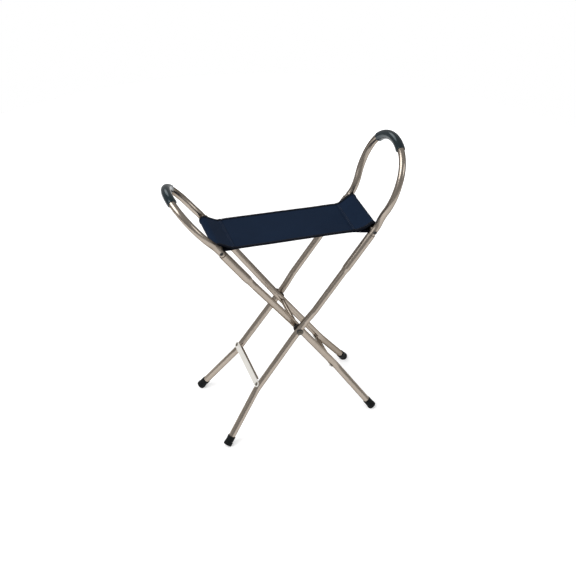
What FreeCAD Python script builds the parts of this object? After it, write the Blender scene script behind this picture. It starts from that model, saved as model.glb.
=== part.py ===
import FreeCAD, Part
import math
import os

import Sketcher
from FreeCAD import Placement, Rotation, Vector

# A folding walking stick seat. Two frames of bent tube cross at a pivot and carry a fabric sling
# between them. Each frame has two legs, a flat brace low down, a seat rod near the top and a
# hoop-shaped handle plugged into the swaged leg tops. The outer frame has its handle on the
# right (+X) and its feet on the left, and the inner frame turns between its legs.
#
# The origin is on the floor under the middle of the open seat's outline. X runs from handle to
# handle, Y from the near side to the far side, Z up. In each frame's own axes the pivot is the
# origin, Z runs up the legs, Y across and X square to the frame. A station is a height up the
# legs from the pivot, and a half is half of a width between tube centre lines.

SIZES = {
    "lean": 34.5,
    "pivot_height": 280.0,
    "pivot_offset": 18.78,
    "tube_radius": 8.0,
    "tube_bore": 6.7,
    "socket_radius": 9.5,
    "socket_bore": 8.06,
    "socket_length": 98.0,
    "socket_taper": 12.0,
    "socket_below_rod": 10.0,
    "spigot_length": 90.0,
    "hoop_rivet_depth": 35.0,
    "hoop_bend_radius": 60.0,
    "hoop_bend_above_rod": 8.0,
    "outer_foot_half": 111.0,
    "outer_knee_half": 75.0,
    "outer_waist_half": 71.0,
    "outer_rod_half": 75.0,
    "outer_waist_top": 26.0,
    "outer_shoulder": 62.0,
    "outer_rod_station": 304.0,
    "outer_hoop_bend": 14.0,
    "outer_flare_radius": 100.0,
    "outer_side_radius": 135.0,
    "outer_crown_radius": 84.0,
    "outer_loop_height": 176.0,
    "inner_foot_half": 97.5,
    "inner_knee_half": 56.0,
    "inner_waist_half": 52.0,
    "inner_rod_half": 71.0,
    "inner_waist_top": 20.0,
    "inner_shoulder": 196.0,
    "inner_rod_station": 332.0,
    "inner_hoop_bend": 3.5,
    "inner_flare_radius": 90.0,
    "inner_side_radius": 115.0,
    "inner_crown_radius": 76.5,
    "inner_loop_height": 143.5,
    "waist_low": 30.0,
    "knee_station": 186.0,
    "knee_bend_radius": 90.0,
    "waist_bend_radius": 40.0,
    "brace_station": 172.0,
    "brace_width": 14.0,
    "brace_thickness": 2.0,
    "rivet_radius": 2.4,
    "rivet_head_radius": 4.6,
    "rivet_head_height": 1.9,
    "rivet_grip": 5.0,
    "small_rivet_radius": 1.9,
    "small_rivet_head_radius": 3.4,
    "small_rivet_head_height": 1.4,
    "hole_play": 0.05,
    "rod_plug_length": 15.0,
    "screw_radius": 2.45,
    "screw_head_radius": 4.6,
    "screw_head_height": 2.6,
    "screw_length": 22.0,
    "head_overrun": 1.5,
    "bolt_radius": 3.0,
    "bolt_head_radius": 6.5,
    "bolt_head_height": 3.6,
    "bolt_thread": 5.5,
    "nut_circle_radius": 5.8,
    "nut_height": 5.0,
    "nut_cap_radius": 4.7,
    "saddle_radius": 7.6,
    "saddle_height": 1.8,
    "washer_radius": 10.0,
    "washer_play": 0.15,
    "bush_radius": 4.5,
    "bush_inset": 1.6,
    "spacer_radius": 5.0,
    "spacer_bore": 3.35,
    "tip_radius": 10.2,
    "tip_rim_radius": 9.4,
    "tip_height": 24.0,
    "tip_base": 5.0,
    "tip_foot_height": 7.0,
    "tip_slope": 2.0,
    "tip_lift": 4.0,
    "grip_radius": 11.0,
    "grip_offset": 1.6,
    "grip_end_round": 1.4,
    "outer_grip_near": 24.0,
    "outer_grip_far": 53.0,
    "inner_grip_near": 20.0,
    "inner_grip_far": 56.0,
    "fabric": 1.5,
    "fabric_gap": 0.35,
    "sling_seam": 40.0,
    "seam_width": 5.0,
    "sling_corner": 12.0,
    "sling_outer_half": 61.0,
    "sling_inner_half": 57.0,
    "sling_middle_half": 57.0,
}


class Size:
    """A number together with the sheet formula that gives it."""

    def __init__(self, value, formula):
        self.value = value
        self.formula = formula

    def __add__(self, other):
        other = as_size(other)
        return Size(self.value + other.value, f"({self.formula} + {other.formula})")

    def __sub__(self, other):
        other = as_size(other)
        return Size(self.value - other.value, f"({self.formula} - {other.formula})")

    def __mul__(self, other):
        other = as_size(other)
        return Size(self.value * other.value, f"({self.formula} * {other.formula})")

    def __truediv__(self, other):
        other = as_size(other)
        return Size(self.value / other.value, f"({self.formula} / {other.formula})")

    def __neg__(self):
        return Size(-self.value, f"(0 - {self.formula})")

    __radd__ = __add__
    __rmul__ = __mul__

    def __rsub__(self, other):
        return as_size(other) - self


def as_size(amount):
    return amount if isinstance(amount, Size) else Size(float(amount), str(float(amount)))


def size(alias):
    return Size(SIZES[alias], f"sizes.{alias}")


def sin_of(angle):
    return Size(math.sin(math.radians(angle.value)), f"sin({angle.formula})")


def cos_of(angle):
    return Size(math.cos(math.radians(angle.value)), f"cos({angle.formula})")


def slope_angle(rise, run):
    ratio = rise / run
    return Size(math.degrees(math.atan(ratio.value)), f"atan({ratio.formula})")


def hypotenuse(a, b):
    square = a * a + b * b
    return Size(math.sqrt(square.value), f"sqrt({square.formula})")


ZERO = as_size(0)
doc = FreeCAD.newDocument("walking_stick_seat")
sheet = doc.addObject("Spreadsheet::Sheet", "sizes")
for row, (alias, number) in enumerate(SIZES.items(), start=1):
    sheet.set(f"A{row}", alias.replace("_", " "))
    sheet.set(f"B{row}", str(number))
    sheet.setAlias(f"B{row}", alias)
doc.recompute()

nodes = {}


def bind(thing, prop, amount):
    thing.setExpression(prop, as_size(amount).formula)


class Frame:
    """One of the two crossing frames, with its own sizes under short names."""

    def __init__(self, name, side):
        self.name = name
        self.side = side
        for part in ("foot_half", "knee_half", "waist_half", "rod_half", "waist_top", "shoulder",
                     "rod_station", "hoop_bend", "flare_radius", "side_radius", "crown_radius",
                     "loop_height", "grip_near", "grip_far"):
            setattr(self, part, size(f"{name}_{part}"))
        self.mouth = self.rod_station - size("socket_below_rod")
        self.bend_start = self.rod_station + size("hoop_bend_above_rod")
        bend = size("hoop_bend_radius")
        self.loop_x = -(bend * (1 - cos_of(self.hoop_bend)))
        self.loop_z = self.bend_start + bend * sin_of(self.hoop_bend)
        self.foot_station = size("pivot_height") / cos_of(size("lean"))
        self.splay = slope_angle(self.foot_half - self.knee_half,
                                 self.foot_station - size("knee_station"))


OUTER = Frame("outer", 1)
INNER = Frame("inner", -1)


# Bodies, sketches and their constraints

def new_body(name, frame):
    body = doc.addObject("PartDesign::Body", name)
    body.Placement = Placement(Vector(), Rotation(Vector(0, frame.side, 0), SIZES["lean"]))
    bind(body, "Placement.Rotation.Angle", size("lean"))
    bind(body, "Placement.Base.x", size("pivot_offset"))
    bind(body, "Placement.Base.z", size("pivot_height"))
    return body


def new_sketch(body, name, plane, shift=(0, 0, 0), axis=None, angle=ZERO):
    sketch = body.newObject("Sketcher::SketchObject", name)
    support = [part for part in body.Origin.OriginFeatures if part.Role == plane][0]
    sketch.AttachmentSupport = (support, [""])
    sketch.MapMode = "FlatFace"
    if axis:
        sketch.AttachmentOffset = Placement(Vector(), Rotation(Vector(*axis), angle.value))
        bind(sketch, "AttachmentOffset.Rotation.Angle", angle)
    for letter, amount in zip("xyz", shift):
        bind(sketch, f"AttachmentOffset.Base.{letter}", amount)
    return sketch


def constrain(sketch, kind, where, amount):
    index = sketch.addConstraint(Sketcher.Constraint(kind, *where, amount.value))
    sketch.setExpression(f"Constraints[{index}]", amount.formula)


def put_point(sketch, geometry, end, x, y):
    """Fixes one end of a piece of geometry at (x, y) of the sketch."""
    for kind, amount, axis in (("DistanceX", as_size(x), -2), ("DistanceY", as_size(y), -1)):
        if amount.value == 0:
            sketch.addConstraint(Sketcher.Constraint("PointOnObject", geometry, end, axis))
        else:
            constrain(sketch, kind, (-1, 1, geometry, end), amount)


def flat(x, y):
    return Vector(as_size(x).value, as_size(y).value, 0)


def add_circle(sketch, x, y, radius):
    circle = sketch.addGeometry(Part.Circle(flat(x, y), Vector(0, 0, 1), radius.value), False)
    constrain(sketch, "Radius", (circle,), radius)
    put_point(sketch, circle, 3, x, y)


def add_polygon(sketch, corners):
    first = len(sketch.Geometry)
    count = len(corners)
    for index, corner in enumerate(corners):
        following = corners[(index + 1) % count]
        sketch.addGeometry(Part.LineSegment(flat(*corner), flat(*following)), False)
    for index, corner in enumerate(corners):
        before = first + (index - 1) % count
        sketch.addConstraint(Sketcher.Constraint("Coincident", before, 2, first + index, 1))
        put_point(sketch, first + index, 1, *corner)


def add_axis(sketch, x, y, upright):
    """A construction line through (x, y) to turn a section about; it is the sketch's first axis."""
    step = Vector(0, 10, 0) if upright else Vector(10, 0, 0)
    line = sketch.addGeometry(Part.LineSegment(flat(x, y), flat(x, y) + step), True)
    sketch.addConstraint(Sketcher.Constraint("Vertical" if upright else "Horizontal", line))
    put_point(sketch, line, 1, x, y)
    constrain(sketch, "Distance", (line,), as_size(10))


def add_arc(sketch, centre, start, end, leftwards):
    """An arc from start to end; gives its number and which of its ends is the start and end."""
    radius = (start - centre).Length
    first, last = (start, end) if leftwards else (end, start)
    angles = [math.atan2(point.y - centre.y, point.x - centre.x) for point in (first, last)]
    circle = Part.Circle(centre, Vector(0, 0, 1), radius)
    number = sketch.addGeometry(Part.ArcOfCircle(circle, angles[0], angles[1]), False)
    return (number, 1, 2) if leftwards else (number, 2, 1)


def add_bent_path(sketch, corners, radii, inset):
    """Straight runs through the corners, with an arc of the given radius at each inner corner.
    The first run starts that inset from the first corner."""
    points = [flat(*corner) for corner in corners]
    runs = [(b - a).normalize() for a, b in zip(points, points[1:])]
    start = points[0] + runs[0] * inset.value
    lines = []
    arcs = []
    for index, radius in enumerate(radii):
        before, after = runs[index], runs[index + 1]
        turn = before.x * after.y - before.y * after.x
        setback = radius.value * math.tan(before.getAngle(after) / 2)
        corner = points[index + 1]
        enter, leave = corner - before * setback, corner + after * setback
        across = Vector(-before.y, before.x, 0) * math.copysign(radius.value, turn)
        lines.append(sketch.addGeometry(Part.LineSegment(start, enter), False))
        arcs.append(add_arc(sketch, enter + across, enter, leave, turn > 0))
        start = leave
    lines.append(sketch.addGeometry(Part.LineSegment(start, points[-1]), False))
    marks = [sketch.addGeometry(Part.Point(point), True) for point in points[:-1]]
    for mark, corner in zip(marks, corners):
        put_point(sketch, mark, 1, *corner)
    for index, (arc, enter, leave) in enumerate(arcs):
        line, following = lines[index], lines[index + 1]
        sketch.addConstraint(Sketcher.Constraint("Tangent", line, 2, arc, enter))
        sketch.addConstraint(Sketcher.Constraint("Tangent", arc, leave, following, 1))
        sketch.addConstraint(Sketcher.Constraint("PointOnObject", marks[index], 1, line))
        sketch.addConstraint(Sketcher.Constraint("PointOnObject", marks[index + 1], 1, line))
        constrain(sketch, "Radius", (arc,), radii[index])
    sketch.addConstraint(Sketcher.Constraint("PointOnObject", marks[-1], 1, lines[-1]))
    put_point(sketch, lines[-1], 2, *corners[-1])
    constrain(sketch, "Distance", (marks[0], 1, lines[0], 1), inset)


# Features

def sweep_tube(body, path, outside, bore):
    section = body.newObject("Sketcher::SketchObject", "tube_section")
    section.AttachmentSupport = (path, ["Edge1"])
    section.MapMode = "NormalToEdge"
    add_circle(section, ZERO, ZERO, outside)
    add_circle(section, ZERO, ZERO, bore)
    pipe = body.newObject("PartDesign::AdditivePipe", "tube")
    pipe.Profile = section
    pipe.Spine = path
    return pipe


def revolve(body, sketch, axis, angle=None, back=None):
    turn = body.newObject("PartDesign::Revolution", "turned")
    turn.Profile = sketch
    turn.ReferenceAxis = (sketch, [axis])
    if back:
        turn.Type = "TwoAngles"
        bind(turn, "Angle2", back)
    if angle:
        bind(turn, "Angle", angle)
    return turn


def pad(body, sketch, length, both_ways=False, down=False):
    feature = body.newObject("PartDesign::Pad", "pad")
    feature.Profile = sketch
    bind(feature, "Length", length)
    if both_ways:
        feature.SideType = "Symmetric"
    feature.Reversed = down
    return feature


def drill(body, sketch, length=None, both_ways=False):
    hole = body.newObject("PartDesign::Pocket", "hole")
    hole.Profile = sketch
    if length:
        bind(hole, "Length", length)
    else:
        hole.Type = "ThroughAll"
    if both_ways:
        hole.SideType = "Symmetric"
    return hole


def add_bar(body, radius, height, at, axis, cuts=False):
    """A round bar added to a body, or cut from it, from a point along X, Y or Z."""
    kind = "PartDesign::SubtractiveCylinder" if cuts else "PartDesign::AdditiveCylinder"
    bar = body.newObject(kind, "cut_bar" if cuts else "bar")
    turns = {"X": Rotation(Vector(0, 1, 0), 90), "Y": Rotation(Vector(1, 0, 0), -90), "Z": Rotation()}
    bar.Placement = Placement(Vector(), turns[axis])
    bind(bar, "Radius", radius)
    bind(bar, "Height", height)
    for letter, amount in zip("xyz", at):
        bind(bar, f"Placement.Base.{letter}", amount)
    return bar


def cope(body, radius, half, station):
    """Cuts a piece to sit against the round legs or hoop ends on both sides of the frame."""
    length = radius * 6
    for side in (-1, 1):
        add_bar(body, radius, length, (ZERO, half * side, station - length / 2), "Z", cuts=True)


def add_button(sketch, base, head_radius, head_height, shank_radius=None, tip=None):
    """Half of a domed head, with or without its shank, to turn about the sketch's X axis.
    The head's flat side is at base, and its dome points to -X."""
    crown = base - head_height
    ball = (head_radius * head_radius + head_height * head_height) / (2 * head_height)
    centre, top, rim = flat(crown + ball, 0), flat(crown, 0), flat(base, head_radius)
    dome, at_top, at_rim = add_arc(sketch, centre, top, rim, False)
    corners = [(base, head_radius)]
    if tip:
        corners += [(base, shank_radius), (tip, shank_radius), (tip, ZERO)]
    else:
        corners += [(base, ZERO)]
    lines = [sketch.addGeometry(Part.LineSegment(flat(*a), flat(*b)), False)
             for a, b in zip(corners, corners[1:])]
    axis = sketch.addGeometry(Part.LineSegment(flat(*corners[-1]), top), False)
    for line, corner in zip(lines, corners):
        put_point(sketch, line, 1, *corner)
    for line, following in zip(lines, lines[1:] + [axis]):
        sketch.addConstraint(Sketcher.Constraint("Coincident", line, 2, following, 1))
    put_point(sketch, axis, 1, *corners[-1])
    put_point(sketch, axis, 2, crown, ZERO)
    sketch.addConstraint(Sketcher.Constraint("Coincident", dome, at_rim, lines[0], 1))
    sketch.addConstraint(Sketcher.Constraint("Coincident", dome, at_top, axis, 2))
    sketch.addConstraint(Sketcher.Constraint("PointOnObject", dome, 3, -1))


# Nodes

def keep(label, thing):
    thing.Label = label
    nodes[label] = thing
    return thing


def mirror(name, source):
    copy = doc.addObject("Part::Mirroring", name)
    copy.Source = source
    copy.Base = Vector(0, 0, 0)
    copy.Normal = Vector(0, 1, 0)
    return copy


def keep_both(near_label, far_label, thing):
    keep(near_label, thing)
    keep(far_label, mirror(far_label, thing))


def keep_pair(label, thing):
    """The same small piece on both sides, as one group of two solids."""
    group = doc.addObject("Part::Compound", f"{label}_pair")
    group.Links = [thing, mirror(f"{label}_far", thing)]
    keep(label, group)


# Legs

def make_leg(frame):
    """A near leg: splayed foot run, knee, waist at the pivot, shoulder, and the swaged top."""
    body = new_body(f"{frame.name}_leg", frame)
    top = frame.mouth - size("socket_length") - size("socket_taper")
    corners = [(-frame.foot_half, -frame.foot_station), (-frame.knee_half, -size("knee_station")),
               (-frame.waist_half, -size("waist_low")), (-frame.waist_half, frame.waist_top),
               (-frame.rod_half, frame.shoulder), (-frame.rod_half, top)]
    radii = [size("knee_bend_radius")] + [size("waist_bend_radius")] * 3
    path = new_sketch(body, "leg_path", "YZ_Plane")
    add_bent_path(path, corners, radii, size("tip_lift") + size("tip_base"))
    sweep_tube(body, path, size("tube_radius"), size("tube_bore"))
    socket = new_sketch(body, "socket_section", "YZ_Plane", (-frame.rod_half, frame.mouth, 0))
    length, taper = size("socket_length"), size("socket_taper")
    add_polygon(socket, [
        (size("socket_bore"), ZERO), (size("socket_radius"), ZERO), (size("socket_radius"), -length),
        (size("tube_radius"), -length - taper), (size("tube_bore"), -length - taper),
        (size("tube_bore"), -length), (size("socket_bore"), taper / 2 - length)])
    revolve(body, socket, "V_Axis")
    drill_pivot_hole(body, frame)
    rivet_hole = new_sketch(body, "brace_rivet_hole", "YZ_Plane")
    add_circle(rivet_hole, -frame.knee_half, -size("brace_station"),
               size("rivet_radius") + size("hole_play"))
    drill(body, rivet_hole)
    drill_hoop_rivet_holes(body, frame)
    return body


def drill_pivot_hole(body, frame):
    hole = new_sketch(body, "pivot_hole", "XZ_Plane")
    fitted = size("bush_radius") if frame is INNER else size("bolt_radius")
    add_circle(hole, ZERO, ZERO, fitted + size("hole_play"))
    drill(body, hole, both_ways=True)


def drill_hoop_rivet_holes(body, frame):
    """Holes in the walls that face the seat, for the rivets that lock the hoop in its sockets."""
    hole = new_sketch(body, "hoop_rivet_hole", "XZ_Plane")
    add_circle(hole, ZERO, frame.mouth - size("hoop_rivet_depth"),
               size("small_rivet_radius") + size("hole_play"))
    drill(body, hole, frame.rod_half * 2, both_ways=True)


# Hoop handles

def circles_meet(centre_a, radius_a, centre_b, radius_b):
    """The point on the right-hand side of the line from a to b that is that far from both."""
    gap = centre_b - centre_a
    along = (radius_a ** 2 - radius_b ** 2 + gap.Length ** 2) / (2 * gap.Length)
    across = math.sqrt(radius_a ** 2 - along ** 2)
    forward = Vector(gap).normalize()
    return centre_a + forward * along + Vector(forward.y, -forward.x, 0) * across


def add_loop(sketch, frame):
    """The hoop's centre line, flaring out of the legs, swelling at the sides and crowned on top."""
    half, height = frame.rod_half, frame.loop_height
    flare, side, crown = frame.flare_radius, frame.side_radius, frame.crown_radius
    flare_centre = flat(half + flare, 0)
    crown_centre = flat(0, height - crown)
    side_centre = circles_meet(crown_centre, (side - crown).value, flare_centre, (side + flare).value)
    outward = (side_centre - flare_centre).normalize()
    swell_start = flare_centre + outward * flare.value
    crown_start = crown_centre + (crown_centre - side_centre).normalize() * crown.value

    def other(point):
        return Vector(-point.x, point.y, 0)

    legs_apart = flat(half, 0)
    arcs = [add_arc(sketch, other(flare_centre), other(legs_apart), other(swell_start), True),
            add_arc(sketch, other(side_centre), other(swell_start), other(crown_start), False),
            add_arc(sketch, crown_centre, other(crown_start), crown_start, False),
            add_arc(sketch, side_centre, crown_start, swell_start, False),
            add_arc(sketch, flare_centre, swell_start, legs_apart, True)]
    for (arc, _, leave), (following, enter, _) in zip(arcs, arcs[1:]):
        sketch.addConstraint(Sketcher.Constraint("Tangent", arc, leave, following, enter))
    for (arc, _, _), radius in zip(arcs, (flare, side, crown, side, flare)):
        constrain(sketch, "Radius", (arc,), radius)
    put_point(sketch, arcs[0][0], arcs[0][1], -half, ZERO)
    put_point(sketch, arcs[4][0], arcs[4][2], half, ZERO)
    for arc in (arcs[0][0], arcs[4][0]):
        sketch.addConstraint(Sketcher.Constraint("PointOnObject", arc, 3, -1))
    put_point(sketch, arcs[2][0], 3, ZERO, height - crown)


def add_spigot_rings(sketch, frame):
    for side in (-1, 1):
        add_circle(sketch, ZERO, frame.rod_half * side, size("tube_radius"))
        add_circle(sketch, ZERO, frame.rod_half * side, size("tube_bore"))


def make_hoop(frame):
    """The loop, the small bend under it on each side, and the spigots that enter the sockets."""
    body = new_body(f"{frame.name}_hoop", frame)
    loop = new_sketch(body, "loop_path", "YZ_Plane", (0, frame.loop_z, frame.loop_x),
                      (-1, 0, 0), frame.hoop_bend)
    add_loop(loop, frame)
    sweep_tube(body, loop, size("tube_radius"), size("tube_bore"))
    bend_section = new_sketch(body, "bend_section", "XY_Plane", (0, 0, frame.bend_start))
    add_axis(bend_section, -size("hoop_bend_radius"), ZERO, upright=True)
    add_spigot_rings(bend_section, frame)
    bend = revolve(body, bend_section, "Axis0", frame.hoop_bend)
    bend.Reversed = True
    spigot_section = new_sketch(body, "spigot_section", "XY_Plane", (0, 0, frame.bend_start))
    add_spigot_rings(spigot_section, frame)
    pad(body, spigot_section, frame.bend_start - frame.mouth + size("spigot_length"), down=True)
    screw_hole = new_sketch(body, "rod_screw_hole", "XZ_Plane")
    add_circle(screw_hole, ZERO, frame.rod_station, size("screw_radius") + size("hole_play"))
    drill(body, screw_hole, both_ways=True)
    drill_hoop_rivet_holes(body, frame)
    return body


def make_grip(frame):
    """A moulded grip round the crown, thicker on the inside of the hoop, where the palm closes."""
    body = new_body(f"{frame.name}_grip", frame)
    section = new_sketch(body, "grip_section", "XZ_Plane", (frame.loop_x, frame.loop_z, 0),
                         (0, 0, 1), frame.hoop_bend)
    add_axis(section, ZERO, frame.loop_height - frame.crown_radius, upright=False)
    add_circle(section, ZERO, frame.loop_height, size("tube_radius") + size("hole_play"))
    add_circle(section, ZERO, frame.loop_height - size("grip_offset"), size("grip_radius"))
    turned = revolve(body, section, "Axis0", frame.grip_near, frame.grip_far)
    doc.recompute()
    ends = [f"Edge{number}" for number, edge in enumerate(turned.Shape.Edges, start=1)
            if abs(edge.Length - math.tau * SIZES["grip_radius"]) < 0.01]
    rounding = body.newObject("PartDesign::Fillet", "grip_end_round")
    rounding.Base = (turned, ends)
    bind(rounding, "Radius", size("grip_end_round"))
    return body


# Feet

def make_tip(frame, floor):
    """A rubber cup on the leg's end, bedded flat where it stands on the floor."""
    body = new_body(f"{frame.name}_tip_blank", frame)
    section = new_sketch(body, "tip_section", "YZ_Plane", (-frame.foot_half, -frame.foot_station, 0),
                         (0, 0, -1), frame.splay)
    lift, bore = size("tip_lift"), size("tube_radius") + size("hole_play")
    foot = lift + size("tip_foot_height")
    rim = lift + size("tip_height")
    add_polygon(section, [
        (ZERO, lift), (size("tip_radius"), lift), (size("tip_radius"), foot),
        (size("tip_rim_radius"), foot + size("tip_slope")), (size("tip_rim_radius"), rim), (bore, rim),
        (bore, lift + size("tip_base")), (ZERO, lift + size("tip_base"))])
    revolve(body, section, "V_Axis")
    standing = doc.addObject("Part::Cut", f"{frame.name}_tip_standing")
    standing.Base = body
    standing.Tool = floor
    return standing


# Brace and its rivets

def brace_face(frame):
    return -(size("tube_radius") + size("brace_thickness"))


def make_brace(frame):
    """A flat strap across both legs, on the side away from the other frame."""
    body = new_body(f"{frame.name}_brace", frame)
    outline = new_sketch(body, "strap_outline", "YZ_Plane",
                         (0, -size("brace_station"), brace_face(frame)))
    half, edge = frame.knee_half, size("brace_width") / 2
    ends = []
    for side in (-1, 1):
        centre, low, high = flat(half * side, 0), flat(half * side, -edge), flat(half * side, edge)
        ends.append(add_arc(outline, centre, low, high, side > 0))
        constrain(outline, "Radius", (ends[-1][0],), edge)
        put_point(outline, ends[-1][0], 3, half * side, ZERO)
    (left, left_low, left_high), (right, right_low, right_high) = ends
    for at_left, at_right, height in ((left_low, right_low, -edge), (left_high, right_high, edge)):
        line = outline.addGeometry(Part.LineSegment(flat(-half, height), flat(half, height)), False)
        outline.addConstraint(Sketcher.Constraint("Tangent", left, at_left, line, 1))
        outline.addConstraint(Sketcher.Constraint("Tangent", line, 2, right, at_right))
    for side in (-1, 1):
        add_circle(outline, half * side, ZERO, size("rivet_radius") + size("hole_play"))
    pad(body, outline, size("brace_thickness"))
    return body


def make_brace_rivet(frame):
    body = new_body(f"{frame.name}_brace_rivet", frame)
    section = new_sketch(body, "rivet_section", "XZ_Plane", (0, -size("brace_station"), frame.knee_half))
    base = brace_face(frame)
    add_button(section, base, size("rivet_head_radius"), size("rivet_head_height"),
               size("rivet_radius"), base + size("rivet_grip"))
    revolve(body, section, "H_Axis")
    return body


# Seat rod, its plugs and screws, and the hoop rivets

def make_seat_rod(frame):
    body = new_body(f"{frame.name}_seat_rod", frame)
    section = new_sketch(body, "rod_section", "XZ_Plane", (0, frame.rod_station, 0))
    add_circle(section, ZERO, ZERO, size("tube_radius"))
    add_circle(section, ZERO, ZERO, size("tube_bore"))
    pad(body, section, frame.rod_half * 2, both_ways=True)
    cope(body, size("tube_radius"), frame.rod_half, frame.rod_station)
    return body


def make_rod_plug(frame):
    """A plug in the rod's end, tapped for the screw."""
    body = new_body(f"{frame.name}_rod_plug", frame)
    end = frame.rod_half - size("tube_radius") - size("fabric_gap")
    section = new_sketch(body, "plug_section", "XZ_Plane", (0, frame.rod_station, end))
    add_circle(section, ZERO, ZERO, size("tube_bore") - size("hole_play"))
    add_circle(section, ZERO, ZERO, size("screw_radius") + size("hole_play"))
    pad(body, section, size("rod_plug_length"), down=True)
    return body


def make_rod_screw(frame):
    body = new_body(f"{frame.name}_rod_screw", frame)
    section = new_sketch(body, "screw_head_section", "YZ_Plane", (0, frame.rod_station, 0))
    seat, overrun = -(frame.rod_half + size("tube_radius")), size("head_overrun")
    add_button(section, seat + overrun, size("screw_head_radius"), size("screw_head_height") + overrun)
    revolve(body, section, "H_Axis")
    cope(body, size("tube_radius"), frame.rod_half, frame.rod_station)
    add_bar(body, size("screw_radius"), size("screw_length"),
            (ZERO, seat - size("screw_head_height") / 2, frame.rod_station), "Y")
    return body


def make_hoop_rivet(frame):
    """A small rivet through the socket and spigot walls, with its head towards the seat."""
    body = new_body(f"{frame.name}_hoop_rivet", frame)
    station = frame.mouth - size("hoop_rivet_depth")
    section = new_sketch(body, "rivet_head_section", "YZ_Plane", (0, station, 0), (0, 0, 1), as_size(180))
    seat, overrun = frame.rod_half - size("socket_radius"), size("head_overrun") / 2
    add_button(section, seat + overrun, size("small_rivet_head_radius"),
               size("small_rivet_head_height") + overrun)
    revolve(body, section, "H_Axis")
    cope(body, size("socket_radius"), frame.rod_half, station)
    shank_start = size("small_rivet_head_height") / 2 - size("rivet_grip")
    add_bar(body, size("small_rivet_radius"), size("rivet_grip"),
            (ZERO, shank_start - seat, station), "Y")
    return body


# Pivot

def saddle_face():
    return OUTER.waist_half + size("tube_radius") + size("saddle_height")


def make_pivot_bolt():
    body = new_body("pivot_bolt_body", OUTER)
    section = new_sketch(body, "bolt_section", "YZ_Plane")
    add_button(section, -saddle_face(), size("bolt_head_radius"), size("bolt_head_height"),
               size("bolt_radius"), saddle_face() + size("bolt_thread"))
    revolve(body, section, "H_Axis")
    return body


def make_pivot_nut():
    """A hexagon nut with a domed cap."""
    body = new_body("pivot_nut_body", OUTER)
    hexagon = new_sketch(body, "nut_outline", "XZ_Plane", (0, 0, -saddle_face()))
    corners = [(size("nut_circle_radius") * math.cos(math.radians(60 * step)),
                size("nut_circle_radius") * math.sin(math.radians(60 * step))) for step in range(6)]
    add_polygon(hexagon, [(x, ZERO if abs(y.value) < 1e-9 else y) for x, y in corners])
    pad(body, hexagon, size("nut_height"), down=True)
    cap = new_sketch(body, "cap_section", "YZ_Plane", (0, 0, 0), (0, 0, 1), as_size(180))
    add_button(cap, -(saddle_face() + size("nut_height")), size("nut_cap_radius"),
               size("nut_cap_radius") * 0.85)
    revolve(body, cap, "H_Axis")
    add_bar(body, size("bolt_radius") + size("hole_play"), size("bolt_thread") + size("hole_play"),
            (ZERO, saddle_face(), ZERO), "Y", cuts=True)
    return body


def make_ring(name, frame, outside, bore, start, end):
    """A ring about the pivot, from one distance from the middle to a larger one."""
    body = new_body(name, frame)
    section = new_sketch(body, f"{name}_section", "XZ_Plane", (0, 0, start))
    add_circle(section, ZERO, ZERO, outside)
    add_circle(section, ZERO, ZERO, bore)
    pad(body, section, end - start)
    return body


def make_saddle():
    """The shaped washer that lets the bolt's head and nut sit on the round outer legs."""
    body = make_ring("saddle", OUTER, size("saddle_radius"), size("bolt_radius") + size("hole_play"),
                     OUTER.waist_half + size("tube_radius") / 2, saddle_face())
    cope(body, size("tube_radius"), OUTER.waist_half, ZERO)
    return body


def make_pivot_washer():
    return make_ring("pivot_washer", OUTER, size("washer_radius"),
                     size("bolt_radius") + size("hole_play"),
                     INNER.waist_half + size("tube_radius") + size("washer_play"),
                     OUTER.waist_half - size("tube_radius"))


def make_pivot_bush():
    return make_ring("pivot_bush", INNER, size("bush_radius"),
                     size("bolt_radius") + size("hole_play"),
                     INNER.waist_half - size("tube_radius") + size("bush_inset"),
                     INNER.waist_half + size("tube_radius"))


def make_pivot_spacer():
    """The tube that holds the inner legs apart over the bolt."""
    body = new_body("pivot_spacer_body", INNER)
    section = new_sketch(body, "spacer_section", "XZ_Plane")
    add_circle(section, ZERO, ZERO, size("spacer_radius"))
    add_circle(section, ZERO, ZERO, size("spacer_bore"))
    pad(body, section, INNER.waist_half * 2, both_ways=True)
    cope(body, size("tube_radius"), INNER.waist_half, ZERO)
    return body


# Sling

def tangent_point(centre, radius, point, left):
    """Where a line from the point touches the circle, on its left or right seen from the point."""
    gap = centre - point
    reach = math.sqrt(gap.Length ** 2 - radius ** 2)
    angle = math.atan2(gap.y, gap.x) + math.asin(radius / gap.Length) * (1 if left else -1)
    return point + Vector(math.cos(angle), math.sin(angle), 0) * reach


def add_drop(sketch, radius, tip, low):
    """The hollow of a rod pocket: round the rod at the origin, and closed at the seam."""
    centre, point, bottom = Vector(), flat(*tip), flat(ZERO, low)
    upper = tangent_point(centre, radius.value, point, False)
    if tip[0].value < 0:
        upper = tangent_point(centre, radius.value, point, True)
    arc, at_bottom, at_upper = add_arc(sketch, centre, bottom, upper, tip[0].value < 0)
    slope = sketch.addGeometry(Part.LineSegment(upper, point), False)
    floor = sketch.addGeometry(Part.LineSegment(point, bottom), False)
    constrain(sketch, "Radius", (arc,), radius)
    put_point(sketch, arc, 3, ZERO, ZERO)
    sketch.addConstraint(Sketcher.Constraint("Tangent", arc, at_upper, slope, 1))
    sketch.addConstraint(Sketcher.Constraint("Coincident", slope, 2, floor, 1))
    sketch.addConstraint(Sketcher.Constraint("Coincident", floor, 2, arc, at_bottom))
    put_point(sketch, slope, 2, *tip)
    sketch.addConstraint(Sketcher.Constraint("PointOnObject", arc, at_bottom, -2))


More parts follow.
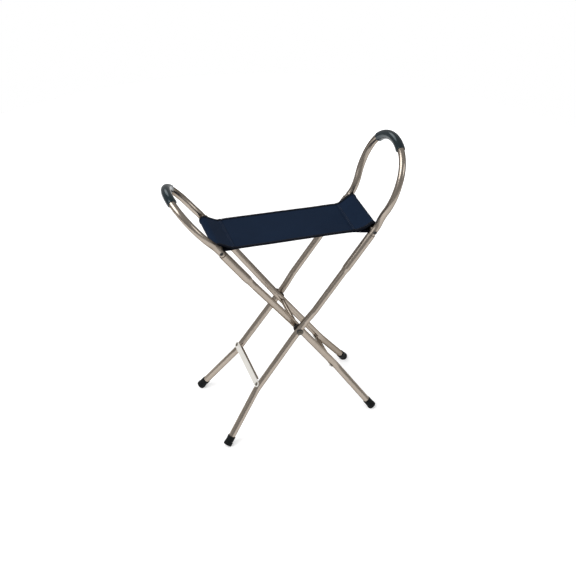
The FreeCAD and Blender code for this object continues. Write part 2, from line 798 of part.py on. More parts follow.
def make_sling():
    """A taut sheet from rod to rod. Each end passes under its rod, comes back over it and is
    sewn down on the sheet, which draws in a little between the ends."""
    lean = size("lean")
    run = (OUTER.rod_station + INNER.rod_station) * sin_of(lean)
    drop = (INNER.rod_station - OUTER.rod_station) * cos_of(lean)
    length = hypotenuse(run, drop)
    tilt = slope_angle(drop, run)
    body = doc.addObject("PartDesign::Body", "seat_sling_body")
    body.Placement = Placement(Vector(), Rotation(Vector(0, 1, 0), tilt.value))
    bind(body, "Placement.Rotation.Angle", tilt)
    bind(body, "Placement.Base.x", size("pivot_offset") - INNER.rod_station * sin_of(lean))
    bind(body, "Placement.Base.z", size("pivot_height") + INNER.rod_station * cos_of(lean))

    fabric, seam = size("fabric"), size("sling_seam")
    inside = size("tube_radius") + size("fabric_gap")
    outside = inside + fabric
    outline = new_sketch(body, "sling_outline", "XZ_Plane")
    seams = [(seam, fabric - inside), (length - seam, fabric - inside)]
    inner_top = tangent_point(Vector(), outside.value, flat(*seams[0]), False)
    outer_top = tangent_point(flat(length, 0), outside.value, flat(*seams[1]), True)
    bottoms = [flat(ZERO, -outside), flat(length, -outside)]
    left = add_arc(outline, Vector(), inner_top, bottoms[0], True)
    sheet_bottom = outline.addGeometry(Part.LineSegment(bottoms[0], bottoms[1]), False)
    right = add_arc(outline, flat(length, 0), bottoms[1], outer_top, True)
    steps = [(length - seam, fabric - inside), (length - seam - fabric, -inside),
             (seam + fabric, -inside), (seam, fabric - inside)]
    ends = [outer_top] + [flat(*step) for step in steps] + [inner_top]
    tops = [outline.addGeometry(Part.LineSegment(a, b), False) for a, b in zip(ends, ends[1:])]
    for (arc, _, _), along in ((left, ZERO), (right, length)):
        constrain(outline, "Radius", (arc,), outside)
        put_point(outline, arc, 3, along, ZERO)
    outline.addConstraint(Sketcher.Constraint("Tangent", left[0], left[2], sheet_bottom, 1))
    outline.addConstraint(Sketcher.Constraint("Tangent", sheet_bottom, 2, right[0], right[1]))
    outline.addConstraint(Sketcher.Constraint("Tangent", right[0], right[2], tops[0], 1))
    outline.addConstraint(Sketcher.Constraint("Tangent", tops[4], 2, left[0], left[1]))
    for line, following, step in zip(tops, tops[1:], steps):
        outline.addConstraint(Sketcher.Constraint("Coincident", line, 2, following, 1))
        put_point(outline, following, 1, *step)
    pad(body, outline, size("sling_outer_half") * 2, both_ways=True)

    tip = seam - size("seam_width")
    for along, tip in ((ZERO, tip), (length, -tip)):
        pocket = new_sketch(body, "rod_pocket", "XZ_Plane", (along, 0, 0))
        add_drop(pocket, inside, (tip, -inside), -inside)
        drill(body, pocket, both_ways=True)

    for side in (-1, 1):
        trim = new_sketch(body, "side_trim", "XY_Plane")
        wide, narrow, mid = (size(f"sling_{part}_half") * side for part in ("outer", "inner", "middle"))
        past, turn = outside * 2, size("sling_corner")
        clear = wide + outside * side
        add_polygon(trim, [
            (-past, narrow), (turn, narrow), (seam, mid), (length - seam, mid),
            (length - turn, wide), (length + past, wide), (length + past, clear), (-past, clear)])
        drill(body, trim, both_ways=True)
    return body


# The whole seat

def make_floor():
    floor = doc.addObject("Part::Box", "floor_plane")
    bind(floor, "Length", size("pivot_height") * 2)
    bind(floor, "Width", size("pivot_height"))
    bind(floor, "Height", size("tip_height"))
    bind(floor, "Placement.Base.x", -size("pivot_height"))
    bind(floor, "Placement.Base.y", -size("pivot_height") / 2)
    bind(floor, "Placement.Base.z", -size("tip_height"))
    return floor


floor_plane = make_floor()
for frame in (OUTER, INNER):
    keep_both(f"{frame.name}_leg_near", f"{frame.name}_leg_far", make_leg(frame))
    keep(f"{frame.name}_hoop", make_hoop(frame))
    keep(f"{frame.name}_grip", make_grip(frame))
    keep_both(f"{frame.name}_tip_near", f"{frame.name}_tip_far", make_tip(frame, floor_plane))
    keep(f"{frame.name}_brace", make_brace(frame))
    keep_pair(f"{frame.name}_brace_rivets", make_brace_rivet(frame))
    keep(f"{frame.name}_seat_rod", make_seat_rod(frame))
    keep_pair(f"{frame.name}_rod_plugs", make_rod_plug(frame))
    keep_pair(f"{frame.name}_rod_screws", make_rod_screw(frame))
    keep_pair(f"{frame.name}_hoop_rivets", make_hoop_rivet(frame))
keep("pivot_bolt", make_pivot_bolt())
keep("pivot_nut", make_pivot_nut())
keep_pair("pivot_saddles", make_saddle())
keep_pair("pivot_washers", make_pivot_washer())
keep_pair("pivot_bushes", make_pivot_bush())
keep("pivot_spacer_tube", make_pivot_spacer())
keep("seat_sling", make_sling())

doc.recompute()
for thing in doc.Objects:
    if "Invalid" in thing.State or "Error" in thing.State:
        raise RuntimeError(f"{thing.Name} ({thing.Label}) failed: {thing.State}")
os.makedirs("parts", exist_ok=True)
whole = FreeCAD.BoundBox()
for label, thing in nodes.items():
    if thing.Shape.isNull() or not thing.Shape.isValid():
        raise RuntimeError(f"{label} has no valid shape")
    whole.add(thing.Shape.BoundBox)
    thing.Shape.exportStep(f"parts/{label}.step")
    print(f"{label}: {len(thing.Shape.Solids)} solid(s), {thing.Shape.Volume:.0f} mm3")
print(f"{len(nodes)} nodes, X {whole.XMin:.2f} {whole.XMax:.2f}, Y {whole.YMin:.2f} {whole.YMax:.2f},"
      f" Z {whole.ZMin:.2f} {whole.ZMax:.2f}")
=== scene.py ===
import math

import bmesh
import bpy
from mathutils import Matrix, Vector, noise


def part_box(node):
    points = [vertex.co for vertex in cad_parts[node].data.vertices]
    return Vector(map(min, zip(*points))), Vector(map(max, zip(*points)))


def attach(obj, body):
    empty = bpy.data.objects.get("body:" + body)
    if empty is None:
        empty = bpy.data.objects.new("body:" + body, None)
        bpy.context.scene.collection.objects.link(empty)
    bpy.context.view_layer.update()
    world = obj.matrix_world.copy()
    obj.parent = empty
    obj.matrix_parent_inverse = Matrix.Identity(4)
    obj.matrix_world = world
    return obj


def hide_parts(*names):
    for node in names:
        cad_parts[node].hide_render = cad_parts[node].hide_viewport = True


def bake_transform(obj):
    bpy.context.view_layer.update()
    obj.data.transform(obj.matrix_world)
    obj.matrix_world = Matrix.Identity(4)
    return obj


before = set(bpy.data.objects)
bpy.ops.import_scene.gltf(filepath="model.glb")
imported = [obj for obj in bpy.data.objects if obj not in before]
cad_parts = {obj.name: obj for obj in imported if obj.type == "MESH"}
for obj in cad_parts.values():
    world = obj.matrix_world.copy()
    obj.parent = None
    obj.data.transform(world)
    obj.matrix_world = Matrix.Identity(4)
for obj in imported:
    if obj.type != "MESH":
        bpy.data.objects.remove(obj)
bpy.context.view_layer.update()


# Places read from the frame. All sizes are in metres.

def middle(node):
    low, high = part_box(node)
    return (low + high) / 2


LEAN = math.radians(34.5)
PIVOT = middle("pivot_spacer_tube")
INNER_ROD = middle("inner_seat_rod")
OUTER_ROD = middle("outer_seat_rod")


# Shader values and node trees

class Shade:
    """A number that a node gives. Arithmetic on it adds Math nodes."""

    def __init__(self, finish, socket):
        self.finish = finish
        self.socket = socket

    def combined(self, operation, first, second):
        return self.finish.add("Math", {"operation": operation}, {0: first, 1: second})

    def __add__(self, other):
        return self.combined("ADD", self, other)

    def __sub__(self, other):
        return self.combined("SUBTRACT", self, other)

    def __rsub__(self, other):
        return self.combined("SUBTRACT", other, self)

    def __mul__(self, other):
        return self.combined("MULTIPLY", self, other)

    __radd__ = __add__
    __rmul__ = __mul__

    def between(self, low, high):
        """0 below low, 1 above high, and smooth between them."""
        return self.finish.add("MapRange", {"interpolation_type": "SMOOTHSTEP"},
                               {"Value": self, "From Min": low, "From Max": high})


class NodeTree:
    """A tree of nodes, with one method that adds any kind of node."""

    def __init__(self, tree):
        self.tree = tree

    def feed(self, node, socket, value):
        if isinstance(value, Shade):
            self.tree.links.new(value.socket, node.inputs[socket])
        elif node.inputs[socket].type == "RGBA":
            node.inputs[socket].default_value = (*value, 1)
        else:
            node.inputs[socket].default_value = value

    def add(self, kind, settings, values, output=0):
        node = self.tree.nodes.new(f"ShaderNode{kind}")
        for name, setting in settings.items():
            setattr(node, name, setting)
        for socket, value in values.items():
            self.feed(node, socket, value)
        return Shade(self, node.outputs[output])

    def blend(self, amount, first, second):
        return self.add("Mix", {"data_type": "RGBA"}, {"Factor": amount, 6: first, 7: second}, 2)

    def ray(self, *kinds):
        """1 where a ray of one of these kinds looks, such as a camera ray, and 0 elsewhere."""
        found = self.add("LightPath", {}, {}, f"Is {kinds[0]} Ray")
        for kind in kinds[1:]:
            found = found.combined("MAXIMUM", found, self.add("LightPath", {}, {}, f"Is {kind} Ray"))
        return found


class Finish(NodeTree):
    """A material for one kind of surface, built round a Principled shader."""

    def __init__(self, name, **constants):
        self.material = bpy.data.materials.new(name)
        self.material.use_nodes = True
        super().__init__(self.material.node_tree)
        self.surface = self.tree.nodes["Principled BSDF"]
        for word, value in constants.items():
            self.feed(self.surface, word.replace("_", " ").title().replace("Ior", "IOR"), value)
        self.place = self.add("TexCoord", {}, {}, "Object")

    def turned(self, turn=(0, 0, 0), stretch=(1, 1, 1), centre=(0, 0, 0)):
        """The surface's place, seen from a centre, turned and stretched."""
        moved = self.add("Mapping", {"vector_type": "TEXTURE"},
                         {"Vector": self.place, "Location": centre, "Rotation": turn})
        return self.add("VectorMath", {"operation": "MULTIPLY"}, {0: moved, 1: stretch})

    def noise(self, place, scale, detail=3.0, roughness=0.5):
        return self.add("TexNoise", {}, {"Vector": place, "Scale": scale, "Detail": detail,
                                         "Roughness": roughness})

    def show(self, colour, roughness, height=None, strength=0.0, depth=0.0):
        self.feed(self.surface, "Base Color", colour)
        self.feed(self.surface, "Roughness", roughness)
        if height is not None:
            bump = self.add("Bump", {}, {"Height": height, "Strength": strength, "Distance": depth})
            self.feed(self.surface, "Normal", bump)
        return self.material


# Finishes. A Specular Tint this dark dims the tube towards its edges, as in the photograph.

EDGE_DARKENING = (0.12, 0.1, 0.08)


def anodised_tube(name, lean):
    """Champagne anodised tube, drawn lengthwise, with faint handling marks."""
    tube = Finish(name, metallic=1.0, specular_tint=EDGE_DARKENING)
    along = tube.turned(turn=(0, lean, 0), stretch=(1, 1, 0.02), centre=tuple(PIVOT))
    askew = tube.turned(turn=(0.4, lean, 0.9), stretch=(1, 1, 0.15))
    draw_lines = tube.noise(along, scale=900, detail=2)
    patches = tube.noise(tube.place, scale=14, detail=4, roughness=0.6)
    scuffs = tube.noise(askew, scale=160, detail=6, roughness=0.75).between(0.62, 0.74)
    colour = tube.blend(patches, (0.375, 0.323, 0.272), (0.44, 0.384, 0.328))
    colour = tube.blend(draw_lines * 0.3, colour, (0.3, 0.255, 0.21))
    colour = tube.blend(scuffs * 0.35, colour, (0.6, 0.55, 0.49))
    roughness = 0.17 + draw_lines * 0.08 + patches * 0.05 + scuffs * 0.12
    return tube.show(colour, roughness, height=draw_lines, strength=0.06, depth=0.0003)


def brushed_strap():
    """Flat aluminium strip, brushed across the frame, much paler and duller than the tube."""
    strap = Finish("brushed_strap", metallic=0.3)
    brushing = strap.noise(strap.turned(stretch=(1, 0.03, 1)), scale=1400, detail=2)
    patches = strap.noise(strap.place, scale=30)
    colour = strap.blend(brushing, (0.68, 0.655, 0.605), (0.79, 0.77, 0.735))
    colour = strap.blend(patches * 0.3, colour, (0.6, 0.565, 0.505))
    return strap.show(colour, 0.32 + brushing * 0.16, height=brushing, strength=0.08, depth=0.0003)


def set_rivet():
    """Aluminium rivet heads of the hoops' sockets, dimpled where they were closed."""
    rivet = Finish("set_rivet", metallic=1.0)
    dents = rivet.noise(rivet.place, scale=500)
    colour = rivet.blend(dents, (0.52, 0.48, 0.42), (0.78, 0.75, 0.7))
    return rivet.show(colour, 0.22 + dents * 0.2, height=dents, strength=0.2, depth=0.0004)


def browned_steel():
    """Oiled dark steel of the pivot's bolt and nut and the braces' rivets, with a cloudy bloom."""
    steel = Finish("browned_steel", metallic=1.0)
    bloom = steel.noise(steel.place, scale=220, detail=4, roughness=0.6)
    colour = steel.blend(bloom, (0.085, 0.075, 0.06), (0.16, 0.145, 0.12))
    return steel.show(colour, 0.34 + bloom * 0.2, height=bloom, strength=0.1, depth=0.0003)


def black_plate():
    """Blackened screw heads, rubbed paler on their crowns."""
    black = Finish("black_plate", metallic=0.6)
    rub = black.noise(black.place, scale=700, detail=4, roughness=0.7)
    colour = black.blend(rub, (0.012, 0.012, 0.013), (0.05, 0.048, 0.046))
    return black.show(colour, 0.3 + rub * 0.25, height=rub, strength=0.15, depth=0.0003)


def black_nylon():
    """Moulded black nylon of the washers, saddles, bushes and plugs, with a fine grain."""
    nylon = Finish("black_nylon", specular_ior_level=0.4)
    grain = nylon.noise(nylon.place, scale=1500, detail=2)
    colour = nylon.blend(grain, (0.012, 0.012, 0.013), (0.03, 0.03, 0.031))
    return nylon.show(colour, 0.45 + grain * 0.15, height=grain, strength=0.15, depth=0.0002)


def slate_grip():
    """Glossy dark slate plastic with a fine orange-peel skin and patches worn pale by palms."""
    grip = Finish("slate_grip", specular_ior_level=0.4, specular_tint=(0.65, 0.9, 1.0), coat_weight=0.3,
                  coat_roughness=0.1)
    peel = grip.noise(grip.place, scale=420)
    tint = grip.noise(grip.place, scale=26, detail=4, roughness=0.6)
    wear = grip.noise(grip.place, scale=90, detail=5, roughness=0.7).between(0.6, 0.8)
    colour = grip.blend(tint, (0.002, 0.005, 0.0075), (0.0045, 0.011, 0.0155))
    colour = grip.blend(wear * 0.3, colour, (0.02, 0.034, 0.04))
    roughness = 0.15 + peel * 0.08 + wear * 0.15
    return grip.show(colour, roughness, height=peel, strength=0.08, depth=0.0003)


def tip_rubber():
    """Black rubber, dusty towards the floor."""
    rubber = Finish("tip_rubber", specular_ior_level=0.14)
    grain = rubber.noise(rubber.place, scale=900, detail=4, roughness=0.7)
    height = rubber.add("SeparateXYZ", {}, {"Vector": rubber.place}, "Z")
    dust = (1 - height.between(0.0, 0.012)) * rubber.noise(rubber.place, scale=120, detail=4, roughness=0.7)
    colour = rubber.blend(grain, (0.0012, 0.0018, 0.002), (0.0055, 0.0072, 0.0078))
    colour = rubber.blend(dust * 0.4, colour, (0.05, 0.047, 0.043))
    return rubber.show(colour, 0.55 + grain * 0.2, height=grain, strength=0.25, depth=0.0003)


def woven_cloth(name, deep, pale, lift=1.0):
    """A plain weave of heavy yarns that pass over and under each other. The cloth's own map is in
    metres of the flat cut."""
    cloth = Finish(name, specular_ior_level=0.08, sheen_weight=0.012, sheen_roughness=0.5)
    cut = cloth.add("UVMap", {}, {})
    yarns = {"Vector": cut, "Scale": 180.0, "Distortion": 0.6, "Detail": 1.0}
    warp = cloth.add("TexWave", {"wave_type": "BANDS", "bands_direction": "X"}, yarns, 1)
    weft = cloth.add("TexWave", {"wave_type": "BANDS", "bands_direction": "Y"}, yarns, 1)
    weave = warp * weft + (1 - warp) * (1 - weft)
    fade = cloth.noise(cut, scale=14, detail=4, roughness=0.6)
    fluff = cloth.noise(cut, scale=900, detail=2)
    colour = cloth.blend(weave * 0.5 + fade * 0.5, deep, pale)
    return cloth.show(colour, 0.72 + fluff * 0.2, height=weave + fluff * 0.3, strength=0.35 * lift,
                      depth=0.0004)


def sewing_thread():
    """Dark blue thread, a shade paler than the cloth, with its twist."""
    thread = Finish("sewing_thread", specular_ior_level=0.4)
    twist = thread.noise(thread.place, scale=2500, detail=2)
    colour = thread.blend(twist, (0.012, 0.016, 0.03), (0.05, 0.06, 0.085))
    return thread.show(colour, 0.5 + twist * 0.2, height=twist, strength=0.3, depth=0.0002)


# The sling's cut, and how it lies between the rods

SPAN = (OUTER_ROD - INNER_ROD).length
RUN = (OUTER_ROD - INNER_ROD).normalized()
ACROSS = Vector((0, 1, 0))
UP = RUN.cross(ACROSS).normalized()

CLOTH = 0.0015
ROD_RADIUS = 0.008
ROD_GAP = 0.00035
WRAP = ROD_RADIUS + ROD_GAP + CLOTH / 2
SEAM = 0.034
FLAP = 0.007
FLAP_HEIGHT = CLOTH * 1.1 - WRAP
HALF_WIDTH = 0.057
HALF_AT_OUTER = 0.065

# How far from its rod each pocket's cloth holds its place, and over what length the free cloth departs from
# it
POCKET = 0.018
FLARE_HOLD = 0.004
DRAW_IN = 0.041
DRIFT = 0.002
FAR_BOW = 0.0045

# Where the cloth leaves the rod under the seat, and the lengths of the cut's end: flap, slope, round
SEAM_DISTANCE = math.hypot(SEAM, FLAP_HEIGHT)
TOUCH = math.atan2(FLAP_HEIGHT, SEAM) + math.acos(WRAP / SEAM_DISTANCE)
SLOPE = math.sqrt(SEAM_DISTANCE ** 2 - WRAP ** 2)
ROUND = WRAP * (1.5 * math.pi - TOUCH)
END = FLAP + SLOPE + ROUND
CUT_LENGTH = 2 * END + SPAN

# The lifted near corner of the outer pocket, measured along the cut from its outer end
LIFT_MIDDLE = FLAP + SLOPE + ROUND * 0.38
LIFT_REACH = SLOPE * 0.9
CORNER_LIFT = 0.006
CORNER_PULL = 0.0005

# Folds of the stretched sheet. Each corner gives its run, its side and how far its folds reach.
FOLD_CORNERS = ((0, -1, 0.11), (0, 1, 0.09), (SPAN, -1, 0.13), (SPAN, 1, 0.1))
FOLD_DEPTH = 0.00055
FOLD_RATE = 11
FOLD_SPREAD = 0.058
FOLD_CORE = 0.004
FOLD_RISE = 0.03
SHEET_HOLD = 0.12
RIPPLE_DEPTH = 0.0007
RIPPLES_ALONG = 14
RIPPLES_ACROSS = 22
RIPPLE_SEED = 3.1


def smooth(amount):
    """0 below 0, 1 above 1, and smooth between them."""
    amount = min(1.0, max(0.0, amount))
    return amount * amount * (3 - 2 * amount)


def end_profile(along):
    """Height profile of one end: flap, slope up to the rod, round the rod, then the sheet.
    Gives the distance from the rod towards the seat's middle, the height, and the outward side."""
    if along < FLAP:
        return SEAM + FLAP - along, FLAP_HEIGHT, (0.0, 1.0)
    along -= FLAP
    if along < SLOPE:
        share = along / SLOPE
        touch = (WRAP * math.cos(TOUCH), WRAP * math.sin(TOUCH))
        return (SEAM + (touch[0] - SEAM) * share, FLAP_HEIGHT + (touch[1] - FLAP_HEIGHT) * share,
                (math.cos(TOUCH), math.sin(TOUCH)))
    along -= SLOPE
    if along < ROUND:
        angle = TOUCH + along / WRAP
        return WRAP * math.cos(angle), WRAP * math.sin(angle), (math.cos(angle), math.sin(angle))
    return along - ROUND, -WRAP, (0.0, -1.0)


def half_width(run):
    """The cloth is wider over the outer rod and draws in beyond it."""
    flare = 1 - smooth((SPAN - run - FLARE_HOLD) / DRAW_IN)
    return HALF_WIDTH + (HALF_AT_OUTER - HALF_WIDTH) * flare


def drift(run, side):
    """Between the pockets the cloth lies a little to the far side, and its far edge bows out
    near the inner pocket."""
    free = smooth((run - POCKET) / DRAW_IN) * smooth((SPAN - run - POCKET) / DRAW_IN)
    return free * (DRIFT + FAR_BOW * (1 - run / SPAN) * (1 + side) / 2)


def pulled_corner(along, side):
    """How much of the outer pocket's lift there is here: most at its near top corner."""
    from_end = CUT_LENGTH - along
    return smooth(1 - abs(from_end - LIFT_MIDDLE) / LIFT_REACH) * (1 - side) / 2


def tension(run, side):
    """Shallow folds that start at the pockets' corners and die out over the seat."""
    folds = 0.0
    for corner_run, corner_side, reach in FOLD_CORNERS:
        towards = abs(run - corner_run)
        off = (side - corner_side) * FOLD_SPREAD
        angle = math.atan2(abs(off), towards + FOLD_CORE)
        distance = math.hypot(off, towards)
        fold = math.sin(angle * FOLD_RATE + corner_side)
        folds += fold * (1 - smooth(distance / reach)) * smooth(distance / FOLD_RISE)
    return folds


def ripple(run, y):
    """Small unevenness of a cloth that has been sat on."""
    return noise.noise(Vector((run * RIPPLES_ALONG, y * RIPPLES_ACROSS, RIPPLE_SEED)))


def lie(along, side, off=0.0):
    """The place of a point of the cut: along it, across it from -1 to 1, and off its surface."""
    mirrored = along > CUT_LENGTH / 2
    run, height, (out_run, out_up) = end_profile(CUT_LENGTH - along if mirrored else along)
    if mirrored:
        run, out_run = SPAN - run, -out_run
    y = side * half_width(run) + drift(run, side)
    if END < along < CUT_LENGTH - END:
        share = (along - END) / SPAN
        free = smooth(share / SHEET_HOLD) * smooth((1 - share) / SHEET_HOLD)
        height += FOLD_DEPTH * tension(run, side) * free
        height += RIPPLE_DEPTH * ripple(run, y) * free
    corner = pulled_corner(along, side)
    run += CORNER_PULL * corner + out_run * off
    height += CORNER_LIFT * corner + out_up * off
    return INNER_ROD + RUN * run + UP * height + ACROSS * y


# Making pieces

def finished(mesh, name, finish):
    """Turns a bmesh into an object with its place in its mesh."""
    data = bpy.data.meshes.new(name)
    mesh.to_mesh(data)
    mesh.free()
    piece = bpy.data.objects.new(name, data)
    bpy.context.collection.objects.link(piece)
    data.materials.append(finish)
    for face in data.polygons:
        face.use_smooth = True
    return piece


def apply_modifiers(piece):
    evaluated = piece.evaluated_get(bpy.context.evaluated_depsgraph_get())
    shape = bpy.data.meshes.new_from_object(evaluated)
    piece.modifiers.clear()
    piece.data = shape


def thicken(piece, thickness):
    """Gives a sheet half of its thickness on each side."""
    wall = piece.modifiers.new("wall", "SOLIDIFY")
    wall.thickness = thickness
    wall.offset = 0
    apply_modifiers(piece)


def bend_with_fold(piece):
    """Bakes the piece's place into its mesh."""
    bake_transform(piece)


# Soft pieces

GRID_ALONG = 260
TAPE = 0.0007
TAPE_REACH = 0.0065
TAPE_STAND = CLOTH / 2 + 0.0005
TAPE_OVERHANG = TAPE_REACH * 0.12


def flat_strip(mesh, grid_across, half):
    """A grid over the whole length of the cut, mapped in metres. Gives where each point of it is:
    metres along the cut, and from -1 to 1 across."""
    cut = mesh.loops.layers.uv.new("cut")
    bmesh.ops.create_grid(mesh, x_segments=GRID_ALONG, y_segments=grid_across, size=1)
    flat = {vert: ((vert.co.x + 1) / 2 * CUT_LENGTH, vert.co.y) for vert in mesh.verts}
    for face in mesh.faces:
        for loop in face.loops:
            along, across = flat[loop.vert]
            loop[cut].uv = (along, across * half)
    return flat


def sewn_sheet(finish):
    """The sling itself, one strip of cloth whose ends wrap the seat rods."""
    mesh = bmesh.new()
    for vert, (along, side) in flat_strip(mesh, 44, HALF_WIDTH).items():
        vert.co = lie(along, side)
    piece = finished(mesh, "sling_cloth", finish)
    thicken(piece, CLOTH)
    bend_with_fold(piece)
    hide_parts("seat_sling")


def edge_binding(name, side, finish):
    """A folded tape sewn round one long edge of the cloth. It turns from one face of the cloth, at -1,
    over the edge, at 0, to the other face."""
    mesh = bmesh.new()
    for vert, (along, turn) in flat_strip(mesh, 12, TAPE_REACH).items():
        on_face = smooth(abs(turn) * 4)
        off = math.copysign(TAPE_STAND, turn) * on_face
        inset = abs(turn) * TAPE_REACH - TAPE_OVERHANG * (1 - on_face)
        vert.co = lie(along, side * (1 - inset / HALF_WIDTH), off)
    bmesh.ops.recalc_face_normals(mesh, faces=mesh.faces)
    piece = finished(mesh, name, finish)
    thicken(piece, TAPE)
    bend_with_fold(piece)


# Stitches: rows across the cut near each end, which sew the flap down, and rows along the bindings

STITCH_PITCH = 0.0042
STITCH_SHARE = (0.12, 0.82)
STITCH_HALF_WIDTH = 0.0004
STITCH_HALF_HEIGHT = 0.0003
THREAD_STAND = CLOTH / 2 + 0.0002
CROSS_ROWS = (0.0022, 0.0052, END + SEAM + 0.0018, END + SEAM + 0.0048)
CROSS_SIDE = 0.97
BINDING_ROW = 0.0048
BINDING_GAP = 0.004


def stitch_row(mesh, start, end, off):
    """Even stitches between two points of the cut, each a short swollen thread."""
    start, end = (Vector((along, side * HALF_WIDTH)) for along, side in (start, end))
    count = round((end - start).length / STITCH_PITCH)
    for index in range(count):
        first, last = (start.lerp(end, (index + share) / count) for share in STITCH_SHARE)
        tail = lie(first.x, first.y / HALF_WIDTH, off)
        head = lie(last.x, last.y / HALF_WIDTH, off)
        lift = lie(first.x, first.y / HALF_WIDTH, off * 2) - tail
        run = head - tail
        turn = Matrix((run.normalized(), lift.cross(run).normalized(), lift.normalized())).transposed()
        size = Matrix.Diagonal((run.length / 2, STITCH_HALF_WIDTH, STITCH_HALF_HEIGHT, 1))
        place = Matrix.Translation((head + tail) / 2) @ turn.to_4x4() @ size
        bmesh.ops.create_uvsphere(mesh, u_segments=6, v_segments=4, radius=1, matrix=place)


def stitching(finish):
    mesh = bmesh.new()
    for row in CROSS_ROWS:
        for along in (row, CUT_LENGTH - row):
            stitch_row(mesh, (along, -CROSS_SIDE), (along, CROSS_SIDE), THREAD_STAND)
    for side in (-1, 1):
        inset = side * (1 - BINDING_ROW / HALF_WIDTH)
        for off in (THREAD_STAND + TAPE, -THREAD_STAND - TAPE):
            stitch_row(mesh, (BINDING_GAP, inset), (CUT_LENGTH - BINDING_GAP, inset), off)
    piece = finished(mesh, "sling_stitching", finish)
    bend_with_fold(piece)


# Rigid pieces

BRACE_WIDTH = 0.014
BRACE_THICKNESS = 0.002
LIP_DEPTH = 0.007
LIP_THICKNESS = 0.0016
LIP_CORNER = LIP_DEPTH * 0.7
LIP_EDGE = 0.0003
LEG_CLEARANCE = 0.02


def brace_lips(name, lean, finish):
    """Stiffening lips folded back from both long edges of a brace. They end clear of the legs, with
    rounded back corners. They wear the darker tube finish, not the strap's: painted shade along the
    strap's edges. Both are made flat, with x out of the brace's face and z up its width."""
    low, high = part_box(f"{name}_brace")
    length = high.y - low.y - 2 * LEG_CLEARANCE
    back = -(BRACE_THICKNESS + LIP_DEPTH) / 2
    mesh = bmesh.new()
    for side in (-1, 1):
        place = Matrix.Translation((back, 0, side * (BRACE_WIDTH - LIP_THICKNESS) / 2))
        size = Matrix.Diagonal((LIP_DEPTH, length, LIP_THICKNESS, 1))
        bmesh.ops.create_cube(mesh, size=1, matrix=place @ size)
    corners = [edge for edge in mesh.edges
               if all(end.co.x < back for end in edge.verts)
               and abs(edge.verts[0].co.z - edge.verts[1].co.z) > LIP_THICKNESS / 2]
    bmesh.ops.bevel(mesh, geom=corners, offset=LIP_CORNER, segments=6, profile=0.5, affect="EDGES",
                    material=-1)
    centre = middle(f"{name}_brace")
    up = Vector((math.sin(lean), 0, math.cos(lean)))
    out = Vector((-math.cos(lean), 0, math.sin(lean)))
    if (centre - PIVOT).dot(out) < 0:
        out = -out
    turn = Matrix((out, up.cross(out), up)).transposed().to_4x4()
    bmesh.ops.transform(mesh, matrix=Matrix.Translation(centre) @ turn, verts=mesh.verts)
    piece = finished(mesh, f"{name}_brace_lips", finish)
    edges = piece.modifiers.new("edges", "BEVEL")
    edges.width = LIP_EDGE
    edges.segments = 2
    apply_modifiers(piece)
    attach(piece, f"{name}_frame")


def dress(outer_tube, inner_tube):
    """Gives every solid of the frame its finish, by the part of its name after the frame's."""
    rubber, nylon, steel = tip_rubber(), black_nylon(), browned_steel()
    finishes = {
        "grip": slate_grip(), "tip_near": rubber, "tip_far": rubber, "brace": brushed_strap(),
        "brace_rivets": steel, "hoop_rivets": set_rivet(), "rod_screws": black_plate(),
        "rod_plugs": nylon, "washers": nylon, "bushes": nylon, "saddles": nylon,
        "bolt": steel, "nut": steel}
    for node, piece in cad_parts.items():
        owner, kind = node.split("_", 1)
        finish = finishes.get(kind, outer_tube if owner == "outer" else inner_tube)
        piece.data.materials.clear()
        piece.data.materials.append(finish)


# Studio

def add_camera():
    """The photograph's viewpoint: from the near left, well above the seat, through a long lens."""
    eye = Vector((-0.86367, -2.35097, 2.37389))
    ahead = Vector((0.27287, 0.72955, -0.62714)).normalized()
    right = Vector((0.94136, -0.33695, 0.01761)).normalized()
    above = right.cross(ahead)
    lens = bpy.data.cameras.new("camera")
    lens.lens = 86.17
    lens.sensor_width = 36
    lens.clip_end = 50
    camera = bpy.data.objects.new("camera", lens)
    bpy.context.collection.objects.link(camera)
    turn = Matrix((right, above, -ahead)).transposed()
    camera.matrix_world = Matrix.Translation(eye) @ turn.to_4x4()
    bpy.context.scene.camera = camera


def add_lamp(name, place, target, size, power):
    """A round soft lamp that looks at a target."""
    lamp = bpy.data.lights.new(name, "AREA")
    lamp.shape = "DISK"
    lamp.size = size
    lamp.energy = power
    holder = bpy.data.objects.new(name, lamp)
    bpy.context.collection.objects.link(holder)
    aim = (Vector(target) - Vector(place)).to_track_quat("-Z", "Y")
    holder.matrix_world = Matrix.Translation(place) @ aim.to_matrix().to_4x4()


FLOOR_GLOW = (0.32, 0.32, 0.32)
FLOOR_REACH = 1.6
FLOOR_FADE = (FLOOR_REACH * 0.5, FLOOR_REACH * 0.9)


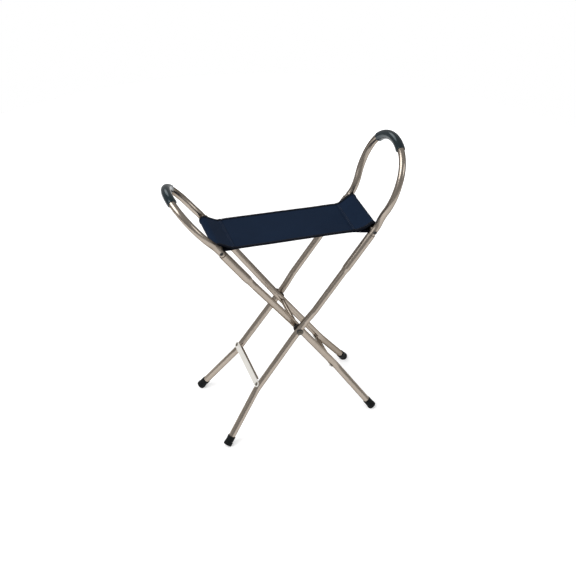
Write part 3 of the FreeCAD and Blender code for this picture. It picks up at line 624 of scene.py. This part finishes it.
def add_floor():
    """Round white paper that shows white to the camera but keeps the object's shadow. Near its rim
    it fades into the background."""
    paper = Finish("white_paper", specular_ior_level=0.1, emission_strength=1.0)
    grain = paper.noise(paper.place, scale=3, detail=2)
    paper.show(paper.blend(grain, (0.86, 0.86, 0.87), (0.88, 0.88, 0.88)), 0.9)
    from_middle = paper.add("VectorMath", {"operation": "LENGTH"}, {0: paper.place}, "Value")
    glow = paper.blend(paper.ray("Camera", "Glossy", "Transmission"), (0, 0, 0), FLOOR_GLOW)
    fade = from_middle.between(*FLOOR_FADE) * paper.ray("Camera")
    paper.feed(paper.surface, "Emission Color", paper.blend(fade, glow, (1, 1, 1)))
    mesh = bmesh.new()
    bmesh.ops.create_circle(mesh, cap_ends=True, segments=64, radius=FLOOR_REACH)
    floor = finished(mesh, "floor", paper.material)


SOFT_LEVEL = 0.62
ROOM_LEVEL = 0.4
CEILING_LEVEL = 0.45
CEILING_RISE = (0.25, 0.9)


def add_sky():
    """Soft light from all round. The camera sees it white; bright metal sees the dim room round the
    paper instead, from the floor's edge up to the paler ceiling."""
    world = bpy.data.worlds.new("studio")
    bpy.context.scene.world = world
    world.use_nodes = True
    sky = NodeTree(world.node_tree)
    aim = sky.add("TexCoord", {}, {}, "Generated")
    height = sky.add("SeparateXYZ", {}, {"Vector": aim}, "Z")
    room = ROOM_LEVEL + height.between(*CEILING_RISE) * (CEILING_LEVEL - ROOM_LEVEL)
    mirrored, seen = sky.ray("Glossy"), sky.ray("Camera", "Transmission")
    level = SOFT_LEVEL + mirrored * (room - SOFT_LEVEL)
    level = level + seen * (1 - level)
    background = sky.tree.nodes["Background"]
    sky.feed(background, "Strength", level)
    sky.feed(background, "Color", (1, 1, 1))


# The whole scene

add_camera()
add_floor()
add_sky()
add_lamp("key", place=(-1.7, -0.2, 2.1), target=(0, 0, 0.35), size=2.0, power=38)
add_lamp("back", place=(-0.42, 1.75, 1.95), target=(0, 0, 0.6), size=1.2, power=8)
add_lamp("fill", place=(1.8, -1.6, 1.4), target=(0, 0, 0.4), size=1.2, power=8)
bpy.context.scene.view_settings.view_transform = "Standard"

outer_tube = anodised_tube("anodised_outer_tube", LEAN)
inner_tube = anodised_tube("anodised_inner_tube", -LEAN)
dress(outer_tube, inner_tube)
# The lips get the tube finish, darker than the strap they fold from: painted shade along the braces' edges.
brace_lips("outer", LEAN, outer_tube)
brace_lips("inner", -LEAN, inner_tube)

sewn_sheet(woven_cloth("navy_cloth", (0.0026, 0.008, 0.021), (0.007, 0.0185, 0.045)))
tape = woven_cloth("binding_tape", (0.0015, 0.0022, 0.005), (0.004, 0.006, 0.012), lift=0.7)
edge_binding("sling_binding_near", -1, tape)
edge_binding("sling_binding_far", 1, tape)
stitching(sewing_thread())
